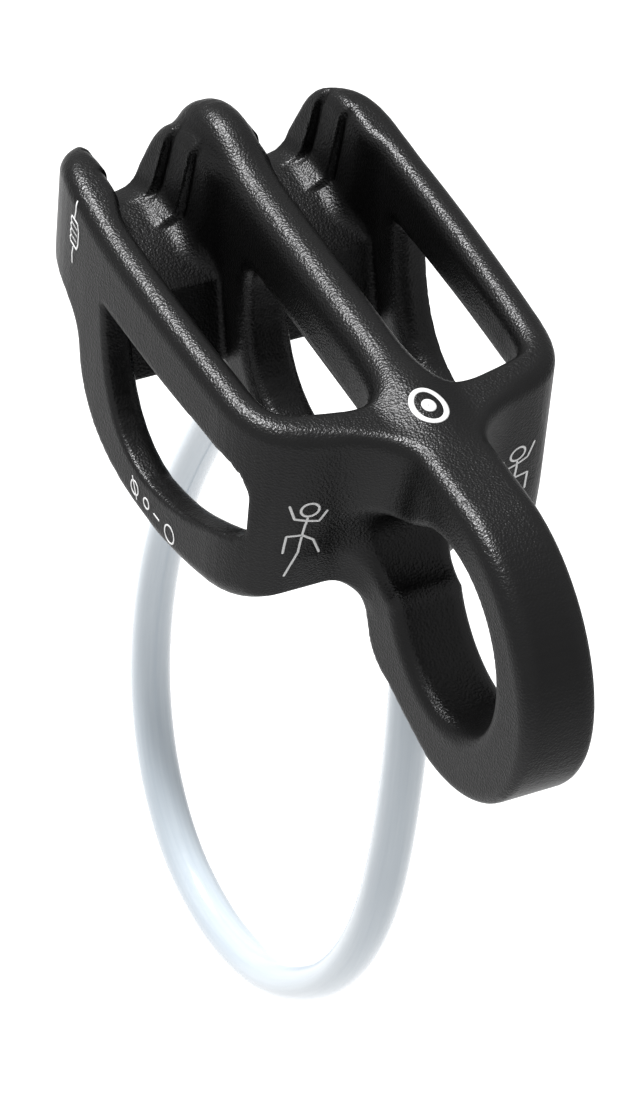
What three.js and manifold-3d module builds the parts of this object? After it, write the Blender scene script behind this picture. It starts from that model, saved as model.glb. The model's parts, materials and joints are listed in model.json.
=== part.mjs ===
// Twin-slot rope brake: a forged tube-style descender with a guide-mode anchor eye
// and a plastic-coated keeper cable. Millimetres, +Z up.
// X runs across the two rope slots, +Y towards the braking grooves, -Y towards the
// anchor eye. The origin is the centre of the anchor eye.
import * as THREE from 'three';
import { mergeVertices } from 'three/addons/utils/BufferGeometryUtils.js';
import Module from 'manifold-3d';

// ---- driving dimensions -------------------------------------------------------------
// Across the part.
const SLOT_WIDTH = 12.7;
const DIVIDER_WALL = 5.5;
const SIDE_WALL = 4.0;
const EYE_PLATE = 8.6;

// Along the part.
const SLOT_LENGTH = 38;
const GROOVE_LENGTH = 16.2;
const FRONT_WEB = 5.0;
const FRONT_RAKE = 5.4;

// Heights.
const RAIL_TOP = 16.8;
const RAIL_HEIGHT = 7.0;
const ARM_SOLE = -10.9;
const ARM_HEIGHT = 4.4;
const DIVIDER_RISE = 1.3;
const SIDE_HUMP = 1.2;
const DIVIDER_HUMP = 2.4;
const SADDLE_LIP = 4.4;
const SADDLE_CROWN = 7.8;

// Anchor eye and the release lobe that opens into it.
const EYE_HOLE_R = 10.8;
const EYE_RING = 6.4;
const EYE_DROP = 1.0;
const RELEASE_R = 5.0;
const RELEASE_Z = 1.0;
const EYE_FLARE = 1.6;
const RELEASE_FLARE = 0.8;
const RELEASE_WEB = 1.8;
const HOLE_REACH = 1.5;

// Braking grooves: two steps on each side of a slot, closing towards the floor.
const GROOVE_STEP = 0.6;
const GROOVE_CLOSE = 3.2;
const OUTER_STEP_LENGTH = 4.6;
const INNER_STEP_LENGTH = 4.7;

// Keeper loop.
const SLEEVE_D = 4.8;
const CABLE_D = 2.2;
const FERRULE_D = 3.4;
const FERRULE_LENGTH = 3.8;
const GAP = 0.3;

// Edge rounding.
const SHELL_EDGE = 2.2;
const PLATE_EDGE = 2.0;

// ---- derived stations ----------------------------------------------------------------
const SLOT_FRONT = EYE_HOLE_R + RELEASE_R + RELEASE_WEB;
const SLOT_BACK = SLOT_FRONT + SLOT_LENGTH;
const NOSE = SLOT_BACK + GROOVE_LENGTH;
const FRONT = SLOT_FRONT - FRONT_WEB;
const WINDOW_TOP = RAIL_TOP - RAIL_HEIGHT;
const WINDOW_SOLE = ARM_SOLE + ARM_HEIGHT;
const SLOT_INNER = DIVIDER_WALL / 2;
const SLOT_OUTER = SLOT_INNER + SLOT_WIDTH;
const SLOT_MIDDLE = SLOT_INNER + SLOT_WIDTH / 2;
const HALF_WIDTH = SLOT_OUTER + SIDE_WALL;
const EYE_R = EYE_HOLE_R + EYE_RING;
const RELEASE_Y = EYE_HOLE_R - 0.3;
const BOSS_Z = -EYE_R + 1.8;
const BEYOND = 12;

const wasm = await Module();
wasm.setup();

// ---- booleans --------------------------------------------------------------------------
function solidOf(geometry) {
  geometry.deleteAttribute('normal');
  geometry.deleteAttribute('uv');
  const merged = mergeVertices(geometry, 1e-4);
  const mesh = new wasm.Mesh({
    numProp: 3,
    vertProperties: new Float32Array(merged.attributes.position.array),
    triVerts: new Uint32Array(merged.index.array),
  });
  return new wasm.Manifold(mesh);
}

function geometryOf(solid) {
  const mesh = solid.getMesh();
  const geometry = new THREE.BufferGeometry();
  geometry.setAttribute('position', new THREE.BufferAttribute(new Float32Array(mesh.vertProperties), 3));
  geometry.setIndex(new THREE.BufferAttribute(new Uint32Array(mesh.triVerts), 1));
  geometry.computeVertexNormals();
  return geometry;
}

// ---- extrusions along the three axes -----------------------------------------------------
// A side outline is drawn in (Y, Z) and runs across the part from x0 to x1.
const SIDE_BASIS = new THREE.Matrix4().makeBasis(
  new THREE.Vector3(0, 1, 0),
  new THREE.Vector3(0, 0, 1),
  new THREE.Vector3(1, 0, 0),
);

function side(shape, x0, x1, edge = 0) {
  const geometry = new THREE.ExtrudeGeometry(shape, {
    depth: x1 - x0 - 2 * edge,
    bevelEnabled: edge > 0,
    bevelThickness: edge,
    bevelSize: edge,
    bevelOffset: -edge,
    bevelSegments: 3,
    curveSegments: 10,
  });
  geometry.applyMatrix4(SIDE_BASIS);
  geometry.translate(x0 + edge, 0, 0);
  return solidOf(geometry);
}

// A plan outline is drawn in (X, Y) and runs up from z0 to z1.
function plan(shape, z0, z1) {
  const geometry = new THREE.ExtrudeGeometry(shape, {
    depth: z1 - z0,
    bevelEnabled: false,
    curveSegments: 10,
  });
  geometry.translate(0, 0, z0);
  return solidOf(geometry);
}

// An end outline is drawn in (X, Z) and runs along the part from y0 to y1.
const END_BASIS = new THREE.Matrix4().makeBasis(
  new THREE.Vector3(1, 0, 0),
  new THREE.Vector3(0, 0, 1),
  new THREE.Vector3(0, -1, 0),
);

function end(shape, y0, y1) {
  const geometry = new THREE.ExtrudeGeometry(shape, { depth: y1 - y0, bevelEnabled: false });
  geometry.applyMatrix4(END_BASIS);
  geometry.translate(0, y1, 0);
  return solidOf(geometry);
}

// A round solid turned about a line through `at` along `direction`; the profile's second
// value is measured along that line.
function turned(profile, at, direction, sides) {
  const geometry = new THREE.LatheGeometry(profile.map(([r, h]) => new THREE.Vector2(r, h)), sides);
  const up = new THREE.Vector3(0, 1, 0);
  geometry.applyQuaternion(new THREE.Quaternion().setFromUnitVectors(up, direction.clone().normalize()));
  geometry.translate(at.x, at.y, at.z);
  return geometry;
}

// ---- outlines ------------------------------------------------------------------------------
// Sole shared by the three walls: under the nose, round the bend and along the arm.
function drawSole(shape) {
  shape.quadraticCurveTo(NOSE, SADDLE_LIP - 1.4, NOSE - 4.4, SADDLE_LIP - 1.5);
  shape.lineTo(NOSE - 9.2, SADDLE_LIP - 1.8);
  shape.quadraticCurveTo(SLOT_BACK + 2.4, SADDLE_LIP - 2.2, SLOT_BACK + 1.5, SADDLE_LIP - 5.6);
  shape.bezierCurveTo(
    SLOT_BACK - 0.2, ARM_SOLE + 5.0, SLOT_BACK - 4, ARM_SOLE + 0.6, SLOT_BACK - 14, ARM_SOLE,
  );
  shape.lineTo(SLOT_FRONT + 14, ARM_SOLE);
}

function drawHumpedRim(shape, rim, hump) {
  shape.lineTo(SLOT_BACK - 3, rim + 0.4);
  shape.bezierCurveTo(
    SLOT_BACK + 2, rim + 0.7, SLOT_BACK + 4, rim + hump, SLOT_BACK + 7.2, rim + hump,
  );
  shape.bezierCurveTo(NOSE - 4.2, rim + hump, NOSE - 0.8, rim + hump - 3, NOSE, rim - 5);
  shape.lineTo(NOSE, SADDLE_CROWN - 0.6);
}

function shellOutline() {
  const shape = new THREE.Shape();
  shape.moveTo(FRONT + FRONT_RAKE, ARM_SOLE + 4.8);
  shape.lineTo(FRONT, RAIL_TOP);
  drawHumpedRim(shape, RAIL_TOP, SIDE_HUMP);
  drawSole(shape);
  shape.quadraticCurveTo(SLOT_FRONT + 6.5, ARM_SOLE + 0.2, FRONT + FRONT_RAKE, ARM_SOLE + 4.8);
  return shape;
}

function dividerOutline() {
  const shape = new THREE.Shape();
  shape.moveTo(SLOT_FRONT - 4, ARM_SOLE + 2.2);
  shape.lineTo(SLOT_FRONT - 4, RAIL_TOP + DIVIDER_RISE - 0.7);
  drawHumpedRim(shape, RAIL_TOP + DIVIDER_RISE, DIVIDER_HUMP);
  drawSole(shape);
  shape.quadraticCurveTo(SLOT_FRONT + 4, ARM_SOLE + 0.4, SLOT_FRONT - 4, ARM_SOLE + 2.2);
  return shape;
}

// The eye plate: ring round the anchor eye, a boss for the keeper and the neck.
function eyePlateOutline() {
  const shape = new THREE.Shape();
  shape.moveTo(SLOT_FRONT + 1, RAIL_TOP + 0.8);
  shape.lineTo(0, EYE_R);
  shape.absellipse(0, -EYE_DROP / 2, EYE_R + EYE_DROP, EYE_R + EYE_DROP / 2, Math.PI / 2, 1.5 * Math.PI, false, 0);
  shape.lineTo(EYE_HOLE_R - 1.2, BOSS_Z - 0.3);
  shape.quadraticCurveTo(EYE_HOLE_R + 3.4, BOSS_Z, EYE_HOLE_R + 4.6, ARM_SOLE - 1.0);
  shape.lineTo(EYE_HOLE_R + 6, ARM_SOLE + 2);
  shape.lineTo(SLOT_FRONT + 1, ARM_SOLE + 1.6);
  return shape;
}

// Plan outline: broad shoulders at the eye end, straight sides, rounded nose.
function planOutline() {
  const shape = new THREE.Shape();
  const half = EYE_PLATE / 2;
  const corner = SLOT_FRONT + 9;
  shape.moveTo(-half, FRONT - 5);
  shape.lineTo(half, FRONT - 5);
  shape.quadraticCurveTo(half + 0.4, FRONT - 0.2, half + 5.5, FRONT + 0.2);
  shape.bezierCurveTo(HALF_WIDTH - 3.6, FRONT + 0.8, HALF_WIDTH - 0.9, FRONT + 6, HALF_WIDTH, corner);
  shape.lineTo(HALF_WIDTH, SLOT_BACK + 3);
  shape.bezierCurveTo(HALF_WIDTH - 0.2, NOSE - 5, HALF_WIDTH - 2.6, NOSE - 0.8, HALF_WIDTH - 7.6, NOSE);
  shape.lineTo(-HALF_WIDTH + 7.6, NOSE);
  shape.bezierCurveTo(
    -HALF_WIDTH + 2.6, NOSE - 0.8, -HALF_WIDTH + 0.2, NOSE - 5, -HALF_WIDTH, SLOT_BACK + 3,
  );
  shape.lineTo(-HALF_WIDTH, corner);
  shape.bezierCurveTo(
    -HALF_WIDTH + 0.9, FRONT + 6, -HALF_WIDTH + 3.6, FRONT + 0.8, -half - 5.5, FRONT + 0.2,
  );
  shape.quadraticCurveTo(-half - 0.4, FRONT - 0.2, -half, FRONT - 5);
  return shape;
}

// The window through each wall: a pointed apex high at the groove end, a straight top
// edge, a rounded upright at the eye end and a curved sill over the arm.
function windowOutline() {
  const shape = new THREE.Shape();
  const front = SLOT_FRONT + 1.9;
  const apex = SLOT_BACK - 4.4;
  shape.moveTo(apex, WINDOW_TOP - 0.9);
  shape.lineTo(front + 4, WINDOW_TOP);
  shape.quadraticCurveTo(front, WINDOW_TOP, front, WINDOW_TOP - 3.6);
  shape.lineTo(front, WINDOW_SOLE + 8);
  shape.quadraticCurveTo(front + 0.1, WINDOW_SOLE + 6.2, front + 3.4, WINDOW_SOLE + 5);
  shape.bezierCurveTo(
    front + 9, WINDOW_SOLE + 2.4, front + 12, WINDOW_SOLE + 0.4, front + 20, WINDOW_SOLE + 0.2,
  );
  shape.bezierCurveTo(
    apex - 5, WINDOW_SOLE + 0.8, apex - 1.6, WINDOW_SOLE + 5, apex, WINDOW_TOP - 0.9,
  );
  return shape;
}

// Everything the rope may occupy, seen from the side: open at the top, out over the
// saddle at the nose, and open below between the saddle bridge and the front web.
function ropePathOutline() {
  const shape = new THREE.Shape();
  const bridgeSole = ARM_SOLE + 6;
  shape.moveTo(SLOT_FRONT, ARM_SOLE - BEYOND);
  shape.lineTo(SLOT_BACK + 4, ARM_SOLE - BEYOND);
  shape.lineTo(SLOT_BACK + 4, bridgeSole - 1);
  shape.lineTo(SLOT_BACK - 2.4, bridgeSole);
  shape.lineTo(SLOT_BACK, SADDLE_LIP);
  shape.quadraticCurveTo(SLOT_BACK + 5, SADDLE_CROWN, SLOT_BACK + 11, SADDLE_CROWN);
  shape.quadraticCurveTo(NOSE - 1, SADDLE_CROWN - 0.2, NOSE + 3, SADDLE_CROWN - 4);
  shape.lineTo(NOSE + 3, RAIL_TOP + BEYOND);
  shape.lineTo(SLOT_FRONT, RAIL_TOP + BEYOND);
  return shape;
}

// Slot in plan, with a rounded eye end.
function slotPlanOutline(hand, back) {
  const shape = new THREE.Shape();
  const inner = hand * SLOT_INNER;
  const outer = hand * SLOT_OUTER;
  const round = hand * SLOT_WIDTH * 0.4;
  shape.moveTo(inner, back);
  shape.lineTo(inner, SLOT_FRONT + 5.5);
  shape.quadraticCurveTo(inner, SLOT_FRONT, inner + round, SLOT_FRONT);
  shape.lineTo(outer - round, SLOT_FRONT);
  shape.quadraticCurveTo(outer, SLOT_FRONT, outer, SLOT_FRONT + 5.5);
  shape.lineTo(outer, back);
  return shape;
}

// A groove's opening in end view: full width at the rim, closing to the saddle; each step
// towards the nose stands a little further out of the wall.
function grooveOutline(centre, step) {
  const rim = SLOT_WIDTH / 2 - GROOVE_STEP * step;
  const floor = SLOT_WIDTH / 2 - GROOVE_CLOSE - GROOVE_STEP * step;
  const slope = (rim - floor) / (RAIL_TOP - SADDLE_LIP);
  const low = SADDLE_LIP - 2;
  const high = RAIL_TOP + 6;
  const halfLow = floor - slope * (SADDLE_LIP - low);
  const halfHigh = rim + slope * (high - RAIL_TOP);
  const shape = new THREE.Shape();
  shape.moveTo(centre - halfLow, low);
  shape.lineTo(centre + halfLow, low);
  shape.lineTo(centre + halfHigh, high);
  shape.lineTo(centre - halfHigh, high);
  return shape;
}

// ---- keeper route -----------------------------------------------------------------------------
// Centre line of the sleeve in (Y, Z) at X = 0, from the groove end down round to the eye end.
const KEEPER_ROUTE = [
  [54.6, -9.8], [57.5, -15.2], [60.9, -21.8], [64.1, -28.8], [67.1, -36.6], [69.5, -45.0],
  [71.0, -54.0], [71.3, -63.0], [70.2, -71.4], [67.4, -78.8], [63.5, -84.0], [59.0, -87.3],
  [53.5, -89.0], [47.0, -89.2], [39.4, -87.2], [33.0, -83.6], [27.4, -78.8], [22.2, -72.8],
  [18.2, -66.2], [15.2, -59.0], [13.2, -51.4], [12.1, -43.4], [11.6, -35.4], [11.5, -27.0],
  [11.8, -18.0],
];
const ROUTE_STEPS = 72;

// Each end of the route stands one sleeve radius off a foot on the body, and the points
// between are shifted in proportion so that the loop still joins its two feet.
function endShift(end, next, footY, footZ) {
  const out = new THREE.Vector2(next[0] - end[0], next[1] - end[1]).normalize();
  const y = footY + (out.x * SLEEVE_D) / 2;
  const z = footZ + (out.y * SLEEVE_D) / 2;
  return new THREE.Vector2(y - end[0], z - end[1]);
}

function fittedRoute() {
  const last = KEEPER_ROUTE.length - 1;
  const grooveShift = endShift(
    KEEPER_ROUTE[0], KEEPER_ROUTE[1], SLOT_BACK - 2.136, ARM_SOLE + 3.214,
  );
  const eyeShift = endShift(
    KEEPER_ROUTE[last], KEEPER_ROUTE[last - 1], EYE_HOLE_R + 1.08, BOSS_Z - 0.201,
  );
  return KEEPER_ROUTE.map(([y, z], i) => {
    const shift = grooveShift.clone().lerp(eyeShift, i / last);
    return new THREE.Vector3(0, y + shift.x, z + shift.y);
  });
}

const route = new THREE.CatmullRomCurve3(fittedRoute(), false, 'centripetal');
const grooveEnd = route.getPointAt(0);
const eyeEnd = route.getPointAt(1);
const intoGrooveSocket = route.getTangentAt(0).negate();
const intoEyeSocket = route.getTangentAt(1);

function circle(radius, sides) {
  const shape = new THREE.Shape();
  for (let i = 0; i < sides; i += 1) {
    const angle = (2 * Math.PI * i) / sides;
    const x = radius * Math.cos(angle);
    const y = radius * Math.sin(angle);
    if (i === 0) shape.moveTo(x, y);
    else shape.lineTo(x, y);
  }
  return shape;
}

function alongRoute(radius, sides, steps) {
  return new THREE.ExtrudeGeometry(circle(radius, sides), {
    steps, bevelEnabled: false, extrudePath: route,
  });
}

// ---- body ---------------------------------------------------------------------------------------
// Where a ferrule's socket opens on the surface: one sleeve radius and a gap from the
// centre of the sleeve's domed end.
const SOCKET_OFFSET = SLEEVE_D / 2 + GAP;

function socketCutter(at, direction) {
  const mouth = at.clone().addScaledVector(direction, SOCKET_OFFSET - 2);
  const depth = FERRULE_LENGTH + GAP + 2;
  const r = FERRULE_D / 2 + GAP;
  return solidOf(turned([[0, 0], [r, 0], [r, depth], [0, depth]], mouth, direction, 24));
}

// A hole across the eye plate whose edges flare out to both faces.
function flaredHole(y, z, radius, flare) {
  const half = EYE_PLATE / 2;
  const reach = half + HOLE_REACH;
  const lip = (t) => radius + flare * (1 - Math.sqrt(1 - t * t));
  const profile = [[0, -reach], [radius + flare, -reach]];
  for (const t of [1, 0.9, 0.6, 0]) profile.push([lip(t), -half + flare * (1 - t)]);
  for (const t of [0, 0.6, 0.9, 1]) profile.push([lip(t), half - flare * (1 - t)]);
  profile.push([radius + flare, reach], [0, reach]);
  return solidOf(turned(profile, new THREE.Vector3(0, y, z), new THREE.Vector3(1, 0, 0), 48));
}

// The straight upper flank that runs from the anchor eye into the release lobe.
function keyholeFlank() {
  const shape = new THREE.Shape();
  const span = Math.hypot(RELEASE_Y, RELEASE_Z);
  const angle = Math.atan2(RELEASE_Z, RELEASE_Y) + Math.acos((EYE_HOLE_R - RELEASE_R) / span);
  const normal = new THREE.Vector2(Math.cos(angle), Math.sin(angle));
  shape.moveTo(0, 0);
  shape.lineTo(RELEASE_Y, RELEASE_Z);
  shape.lineTo(RELEASE_Y + RELEASE_R * normal.x, RELEASE_Z + RELEASE_R * normal.y);
  shape.lineTo(EYE_HOLE_R * normal.x, EYE_HOLE_R * normal.y);
  return side(shape, -EYE_PLATE / 2 - HOLE_REACH, EYE_PLATE / 2 + HOLE_REACH);
}

function ropeSlot(hand) {
  const x0 = Math.min(hand * SLOT_INNER, hand * SLOT_OUTER);
  const x1 = Math.max(hand * SLOT_INNER, hand * SLOT_OUTER);
  const centre = hand * SLOT_MIDDLE;
  const outerStep = NOSE - OUTER_STEP_LENGTH;
  const innerStep = outerStep - INNER_STEP_LENGTH;
  const well = plan(slotPlanOutline(hand, innerStep), ARM_SOLE - BEYOND, RAIL_TOP + BEYOND);
  const grooves = end(grooveOutline(centre, 0), innerStep - 1, outerStep)
    .add(end(grooveOutline(centre, 1), outerStep - 1, NOSE + BEYOND));
  return side(ropePathOutline(), x0, x1).intersect(well.add(grooves));
}

function bodySolid() {
  const shell = side(shellOutline(), -HALF_WIDTH, HALF_WIDTH, SHELL_EDGE)
    .intersect(plan(planOutline(), ARM_SOLE - BEYOND, RAIL_TOP + BEYOND));
  const divider = side(dividerOutline(), -SLOT_INNER, SLOT_INNER, 1);
  const eyePlate = side(eyePlateOutline(), -EYE_PLATE / 2, EYE_PLATE / 2, PLATE_EDGE);
  const slots = ropeSlot(-1).add(ropeSlot(1));
  const windows = side(windowOutline(), -HALF_WIDTH - BEYOND, HALF_WIDTH + BEYOND);
  const keyhole = flaredHole(0, 0, EYE_HOLE_R, EYE_FLARE)
    .add(flaredHole(RELEASE_Y, RELEASE_Z, RELEASE_R, RELEASE_FLARE))
    .add(keyholeFlank());
  return shell.add(eyePlate).subtract(slots).add(divider)
    .subtract(windows)
    .subtract(keyhole)
    .subtract(socketCutter(grooveEnd, intoGrooveSocket))
    .subtract(socketCutter(eyeEnd, intoEyeSocket));
}

// ---- keeper ---------------------------------------------------------------------------------------
function domeAt(point, radius, sides) {
  const geometry = new THREE.SphereGeometry(radius, sides, sides / 2);
  geometry.translate(point.x, point.y, point.z);
  return solidOf(geometry);
}

// Plastic sleeve: a tube with domed ends that turn freely against the body.
function sleeveSolid() {
  const bore = CABLE_D / 2 + GAP;
  const reach = SLEEVE_D / 2 + 2;
  const tube = solidOf(alongRoute(SLEEVE_D / 2, 12, ROUTE_STEPS))
    .add(domeAt(grooveEnd, SLEEVE_D / 2, 16))
    .add(domeAt(eyeEnd, SLEEVE_D / 2, 16));
  const endBore = (at, direction) => solidOf(
    turned([[0, -0.6], [bore, -0.6], [bore, reach], [0, reach]], at, direction, 8),
  );
  return tube
    .subtract(solidOf(alongRoute(bore, 8, ROUTE_STEPS)))
    .subtract(endBore(grooveEnd, intoGrooveSocket))
    .subtract(endBore(eyeEnd, intoEyeSocket));
}

// Ferrule: a cup pressed into its socket, open towards the cable.
function ferruleGeometry(at, direction) {
  const mouth = at.clone().addScaledVector(direction, SOCKET_OFFSET);
  const r = FERRULE_D / 2;
  const bore = CABLE_D / 2 + 0.1;
  const floor = FERRULE_LENGTH - 0.8;
  const profile = [[0, floor], [bore, floor], [bore, 0], [r, 0], [r, FERRULE_LENGTH], [0, FERRULE_LENGTH]];
  return turned(profile, mouth, direction, 24);
}

// ---- scene -------------------------------------------------------------------------------------------
const anodised = new THREE.MeshStandardMaterial({ color: 0x1c1c1d, roughness: 0.55, metalness: 0.6 });
const plastic = new THREE.MeshStandardMaterial({ color: 0xdfe8f0, roughness: 0.25, metalness: 0 });
const steel = new THREE.MeshStandardMaterial({ color: 0xa8abad, roughness: 0.35, metalness: 1 });

const descender = new THREE.Group();

function place(name, geometry, material) {
  const mesh = new THREE.Mesh(geometry, material);
  mesh.name = name;
  descender.add(mesh);
}

place('body', geometryOf(bodySolid()), anodised);
place('groove_end_ferrule', geometryOf(solidOf(ferruleGeometry(grooveEnd, intoGrooveSocket))), steel);
place('eye_end_ferrule', geometryOf(solidOf(ferruleGeometry(eyeEnd, intoEyeSocket))), steel);
place('keeper_sleeve', geometryOf(sleeveSolid()), plastic);
place('keeper_cable', geometryOf(solidOf(alongRoute(CABLE_D / 2, 8, ROUTE_STEPS))), steel);

export default descender;
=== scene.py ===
"""Rope descender: a forged twin-slot body with an anchor eye and a coated cable keeper loop.

Frame: +X across the slots, +Y towards the braking grooves, +Z up, origin at the centre of
the anchor eye. Meshes are in metres. The forging and its marks are worked out in
millimetres and scaled as they are written into a mesh.
"""

from __future__ import annotations

import json
import logging
import math
from dataclasses import dataclass, field
from enum import Enum
from typing import Union

import bmesh
import bpy
import numpy as np
from mathutils import Matrix, Vector

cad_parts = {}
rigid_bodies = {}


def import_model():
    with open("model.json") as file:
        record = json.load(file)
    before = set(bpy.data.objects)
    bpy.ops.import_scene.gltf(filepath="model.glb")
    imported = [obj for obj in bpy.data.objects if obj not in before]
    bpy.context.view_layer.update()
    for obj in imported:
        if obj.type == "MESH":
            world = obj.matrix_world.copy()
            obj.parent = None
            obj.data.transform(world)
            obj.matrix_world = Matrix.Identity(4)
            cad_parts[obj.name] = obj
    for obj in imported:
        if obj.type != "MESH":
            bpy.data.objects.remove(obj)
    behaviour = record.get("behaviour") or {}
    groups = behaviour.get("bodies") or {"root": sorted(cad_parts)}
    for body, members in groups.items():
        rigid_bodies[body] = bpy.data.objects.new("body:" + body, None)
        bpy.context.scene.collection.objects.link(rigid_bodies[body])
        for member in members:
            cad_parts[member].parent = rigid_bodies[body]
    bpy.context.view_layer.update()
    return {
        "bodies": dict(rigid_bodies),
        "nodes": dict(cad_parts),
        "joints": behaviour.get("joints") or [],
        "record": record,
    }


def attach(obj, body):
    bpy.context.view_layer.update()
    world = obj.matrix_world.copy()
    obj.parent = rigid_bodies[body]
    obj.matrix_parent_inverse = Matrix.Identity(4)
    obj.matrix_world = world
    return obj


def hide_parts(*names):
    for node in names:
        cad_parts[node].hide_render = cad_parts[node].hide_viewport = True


LOG = logging.getLogger("descender")
MM = 0.001
FRAME_BODY = "frame"
KEEPER_BODY = "keeper"

Array = np.ndarray
Value = Union[float, "Shade"]


# ---- shader maths ----------------------------------------------------------------------------


class Shade:
    """A shader socket that takes part in Python expressions by adding Math nodes."""

    def __init__(self, graph: "Graph", socket: bpy.types.NodeSocket) -> None:
        """Wraps one output socket of a node graph.

        Args:
            graph: The graph that owns the socket.
            socket: The output socket.
        """
        self.graph = graph
        self.socket = socket

    def _join(self, operation: str, first: Value, second: Value) -> "Shade":
        """Adds one Math node.

        Args:
            operation: The node's operation.
            first: The first operand.
            second: The second operand.

        Returns:
            The node's value.
        """
        node = self.graph.node("ShaderNodeMath", {"operation": operation}, {0: first, 1: second})
        return Shade(self.graph, node.outputs[0])

    def __add__(self, other: Value) -> "Shade":
        """Sum."""
        return self._join("ADD", self, other)

    def __radd__(self, other: Value) -> "Shade":
        """Sum with a number on the left."""
        return self._join("ADD", other, self)

    def __sub__(self, other: Value) -> "Shade":
        """Difference."""
        return self._join("SUBTRACT", self, other)

    def __mul__(self, other: Value) -> "Shade":
        """Product."""
        return self._join("MULTIPLY", self, other)


class Graph:
    """A material's node graph with one Principled shader."""

    def __init__(self, name: str) -> None:
        """Makes the material and its shader.

        Args:
            name: The material's name.
        """
        self.material = bpy.data.materials.new(name)
        self.material.use_nodes = True
        self.tree = self.material.node_tree
        self.tree.nodes.clear()
        self.shader = self.node("ShaderNodeBsdfPrincipled", {}, {})
        out = self.node("ShaderNodeOutputMaterial", {}, {})
        self.tree.links.new(self.shader.outputs["BSDF"], out.inputs["Surface"])

    def node(self, kind: str, settings: dict, inputs: dict) -> bpy.types.Node:
        """Adds a node.

        Args:
            kind: The node's type name.
            settings: Properties set first.
            inputs: Values or Shade links, by socket name or number.

        Returns:
            The new node.
        """
        node = self.tree.nodes.new(kind)
        for key, value in settings.items():
            setattr(node, key, value)
        for key, value in inputs.items():
            if isinstance(value, Shade):
                self.tree.links.new(value.socket, node.inputs[key])
            else:
                node.inputs[key].default_value = value
        return node

    def object_point(self) -> Shade:
        """Object coordinates, in metres."""
        return Shade(self, self.node("ShaderNodeTexCoord", {}, {}).outputs["Object"])

    def attribute(self, name: str) -> Shade:
        """A mesh attribute's value.

        Args:
            name: The attribute's name.

        Returns:
            Its factor.
        """
        node = self.node("ShaderNodeAttribute", {"attribute_name": name}, {})
        return Shade(self, node.outputs["Fac"])

    def stretched(self, point: Shade, scale: tuple[float, float, float]) -> Shade:
        """Scales a point with a Mapping node.

        Args:
            point: The coordinates.
            scale: Scale along X, Y and Z.

        Returns:
            The scaled coordinates.
        """
        node = self.node("ShaderNodeMapping", {}, {"Vector": point, "Scale": scale})
        return Shade(self, node.outputs["Vector"])

    def noise(self, point: Shade, scale: float, detail: float = 2.0) -> Shade:
        """Noise from 0 to 1.

        Args:
            point: The coordinates.
            scale: Features per metre.
            detail: Octaves.

        Returns:
            The noise value.
        """
        node = self.node(
            "ShaderNodeTexNoise", {}, {"Vector": point, "Scale": scale, "Detail": detail}
        )
        return Shade(self, node.outputs["Fac"])

    def cells(self, point: Shade, scale: float) -> Shade:
        """Distance to the nearest of scattered points, for blasted pits.

        Args:
            point: The coordinates.
            scale: Points per metre.

        Returns:
            The distance value.
        """
        node = self.node(
            "ShaderNodeTexVoronoi", {"feature": "F1"}, {"Vector": point, "Scale": scale}
        )
        return Shade(self, node.outputs["Distance"])

    def blend(
        self, factor: Shade, first: tuple[float, float, float], second: tuple[float, float, float]
    ) -> Shade:
        """Mixes two colours.

        Args:
            factor: 0 gives the first colour, 1 the second.
            first: A colour.
            second: A colour.

        Returns:
            The mixed colour.
        """
        node = self.node("ShaderNodeMix", {"data_type": "RGBA"}, {})
        self.tree.links.new(factor.socket, node.inputs[0])
        node.inputs[6].default_value = (*first, 1.0)
        node.inputs[7].default_value = (*second, 1.0)
        return Shade(self, node.outputs[2])

    def bump(self, height: Shade, strength: float, distance: float) -> Shade:
        """Turns a height into a normal.

        Args:
            height: The height value.
            strength: Share of the effect.
            distance: Depth in metres of one unit of height.

        Returns:
            The normal.
        """
        node = self.node(
            "ShaderNodeBump", {}, {"Height": height, "Strength": strength, "Distance": distance}
        )
        return Shade(self, node.outputs["Normal"])

    def feed(self, **sockets: Union[Shade, float, tuple]) -> bpy.types.Material:
        """Sets or links the Principled shader's sockets.

        Args:
            **sockets: Socket names with underscores for spaces.

        Returns:
            The finished material.
        """
        for key, value in sockets.items():
            socket = self.shader.inputs[key.replace("_", " ")]
            if isinstance(value, Shade):
                self.tree.links.new(value.socket, socket)
            else:
                socket.default_value = value
        return self.material


# ---- finishes --------------------------------------------------------------------------------


@dataclass(frozen=True)
class BlastedAnodising:
    """Black hard anodising over a bead-blasted forging."""

    black: tuple[float, float, float] = (0.0165, 0.0165, 0.0167)
    rubbed: tuple[float, float, float] = (0.0270, 0.0270, 0.0273)
    roughness: float = 0.33
    metallic: float = 0.88
    specular: float = 0.115
    grazing: float = 0.55
    grains_per_metre: float = 3600.0
    grain_depth: float = 0.00012

    def material(self) -> bpy.types.Material:
        """Builds the material.

        Returns:
            A dark satin finish whose grain sparkles beside the highlights.
        """
        graph = Graph("blasted_black_anodising")
        point = graph.object_point()
        grain = graph.cells(point, self.grains_per_metre)
        fine = graph.noise(point, self.grains_per_metre * 1.9, 1.0)
        broad = graph.noise(point, 55.0, 3.0)
        worn = graph.attribute("edge")
        height = grain * 0.7 + fine * 0.5
        tone = worn * 0.55 + broad * 0.25 + fine * 0.2
        rough = self.roughness + (fine - 0.5) * 0.16 + (broad - 0.5) * 0.06 - worn * 0.05
        return graph.feed(
            Base_Color=graph.blend(tone, self.black, self.rubbed),
            Roughness=rough,
            Normal=graph.bump(height, 0.55, self.grain_depth),
            Metallic=self.metallic,
            Specular_IOR_Level=self.specular,
            Specular_Tint=(self.grazing, self.grazing, self.grazing, 1.0),
        )


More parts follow.
